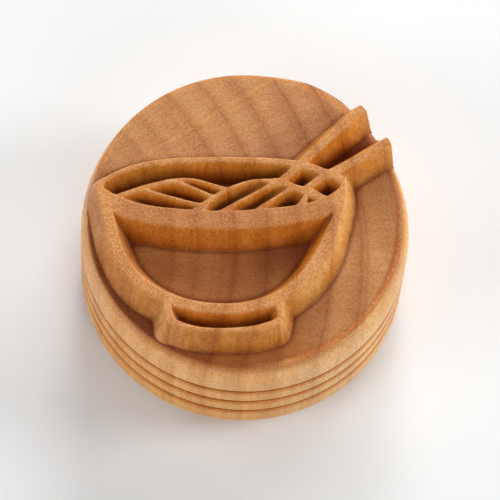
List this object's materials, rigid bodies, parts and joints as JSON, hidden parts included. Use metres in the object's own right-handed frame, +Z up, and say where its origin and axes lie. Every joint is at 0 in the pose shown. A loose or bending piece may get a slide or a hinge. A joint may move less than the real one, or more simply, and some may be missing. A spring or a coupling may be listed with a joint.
{
  "type": "butter mold",
  "caption": "Round turned wooden butter print: an end-grain block with a deeply raised bowl of noodles and chopsticks on its face and fine grooves round its side.",
  "frame": {"origin": "centre of the flat foot the block stands on", "axes": "+Z up out of the carved face, +X to the right of the picture along the bowl's rim, +Y to the top of the picture, towards the chopsticks' ends"},
  "size_m": [0.04, 0.04, 0.023],
  "materials": {
    "maple_body": "sanded end grain, bare, with darker growth rings and scorched turned grooves",
    "maple_relief": "bare end grain on the tops, honey-brown toasted flanks"
  },
  "bodies": {
    "root": {"back_rim": "maple_relief", "bowl_wall": "maple_relief", "chopstick_lower": "maple_relief", "chopstick_lower_tip": "maple_relief", "chopstick_upper": "maple_relief", "chopstick_upper_tip": "maple_relief", "foot_ring": "maple_relief", "front_rim": "maple_relief", "noodle_arch": "maple_relief", "noodle_front": "maple_relief", "noodle_left_inner": "maple_relief", "noodle_left_outer": "maple_relief", "noodle_short": "maple_relief", "noodle_slant_left": "maple_relief", "noodle_slant_right": "maple_relief", "noodle_wave": "maple_relief", "turned_block": "maple_body"}
  },
  "joints": []
}
